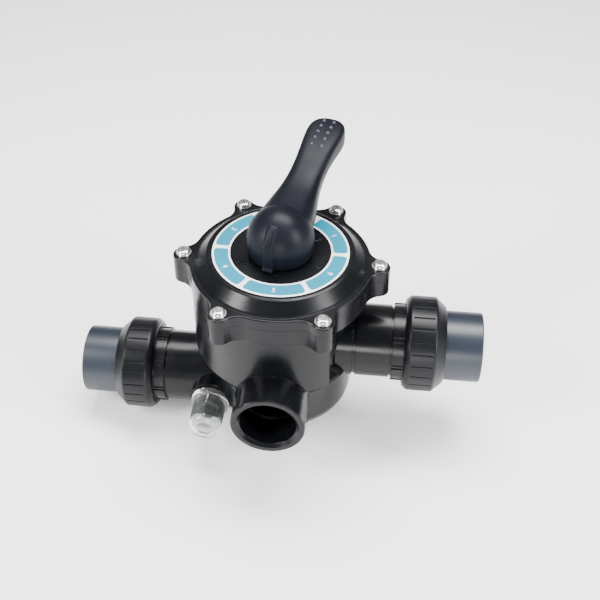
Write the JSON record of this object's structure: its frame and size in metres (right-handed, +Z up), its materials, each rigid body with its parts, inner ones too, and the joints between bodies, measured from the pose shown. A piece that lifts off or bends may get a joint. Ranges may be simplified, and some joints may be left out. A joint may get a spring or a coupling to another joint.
{
  "type": "multiport valve",
  "caption": "Top-mount multiport valve for a pool filter: lidded black body, lever handle over a ring label, pipe ports with union nuts, and a clear sight glass.",
  "frame": {"origin": "centre of the neck's bottom face, on the valve's axis", "axes": "+Z up along the axis to the handle, +X out of the pump port, -X out of the waste pipe, -Y out of the return port"},
  "size_m": [0.3788, 0.2394, 0.2644],
  "materials": {
    "black_abs": "gloss",
    "grey_upvc": "semi-gloss",
    "clear_polycarbonate": "clear",
    "black_rubber": "matt",
    "stainless_steel": "bright",
    "spring_steel": "drawn wire",
    "label_plastic": "printed",
    "white_acetal": "satin",
    "rotor_plastic": "satin"
  },
  "bodies": {
    "valve": {"valve_body": "black_abs", "lid": "black_abs", "lid_oring": "black_rubber", "lid_screws": "stainless_steel", "lid_washers": "stainless_steel", "lid_nuts": "stainless_steel", "position_label": "label_plastic", "neck_oring": "black_rubber", "spider_gasket": "black_rubber", "pump_extension": "black_abs", "union_end_pump": "black_abs", "union_oring_pump": "black_rubber", "union_end_waste": "black_abs", "union_oring_waste": "black_rubber"},
    "index": {"thrust_washer": "white_acetal"},
    "rotor": {"rotor": "rotor_plastic", "stem_orings": "black_rubber", "spring_washer": "white_acetal", "spring": "spring_steel", "handle_pin": "stainless_steel"},
    "handle": {"handle": "black_abs"},
    "tail_pump": {"union_tail_pump": "grey_upvc"},
    "nut_pump": {"union_nut_pump": "black_abs"},
    "tail_waste": {"union_tail_waste": "grey_upvc"},
    "nut_waste": {"union_nut_waste": "black_abs"},
    "sight_seal": {"sight_glass_oring": "black_rubber"},
    "sight_glass": {"sight_glass": "clear_polycarbonate"}
  },
  "joints": [
    {"name": "selector_turn", "type": "hinge", "parent": "valve", "child": "index", "pos_m": [0, 0, 0], "axis": [0, 0, 1], "continuous": true},
    {"name": "rotor_lift", "type": "slide", "parent": "index", "child": "rotor", "axis": [0, 0, 1], "range_m": [0, 0.0042], "deforming": ["spring"]},
    {"name": "handle_tilt", "type": "hinge", "parent": "rotor", "child": "handle", "pos_m": [0, 0, 0.2165], "axis": [-0.9659, 0.2588, 0], "range_deg": [0, 14], "stiffness_Nm_per_rad": 2.178, "springref_deg": -20.83},
    {"name": "tail_pump_slide", "type": "slide", "parent": "valve", "child": "tail_pump", "axis": [1, 0, 0], "range_m": [0, 0.0121]},
    {"name": "nut_pump_turn", "type": "hinge", "parent": "tail_pump", "child": "nut_pump", "pos_m": [0.136, 0, 0.1012], "axis": [1, 0, 0], "range_deg": [0, 1080]},
    {"name": "tail_waste_slide", "type": "slide", "parent": "valve", "child": "tail_waste", "axis": [-1, 0, 0], "range_m": [0, 0.0121]},
    {"name": "nut_waste_turn", "type": "hinge", "parent": "tail_waste", "child": "nut_waste", "pos_m": [-0.142, 0, 0.0465], "axis": [-1, 0, 0], "range_deg": [0, 1080]},
    {"name": "sight_seal_slide", "type": "slide", "parent": "valve", "child": "sight_seal", "axis": [0, -1, 0], "range_m": [0, 0.0162]},
    {"name": "sight_glass_turn", "type": "hinge", "parent": "sight_seal", "child": "sight_glass", "pos_m": [-0.0635, -0.05, 0.0465], "axis": [0, -1, 0], "range_deg": [0, 2520]}
  ],
  "couplings": [
    {"joint": "rotor_lift", "follows": "handle_tilt", "m_per_rad": 0.0165},
    {"joint": "tail_pump_slide", "follows": "nut_pump_turn", "m_per_rad": 0.00063662},
    {"joint": "tail_waste_slide", "follows": "nut_waste_turn", "m_per_rad": 0.00063662},
    {"joint": "sight_seal_slide", "follows": "sight_glass_turn", "m_per_rad": 0.00036606}
  ]
}
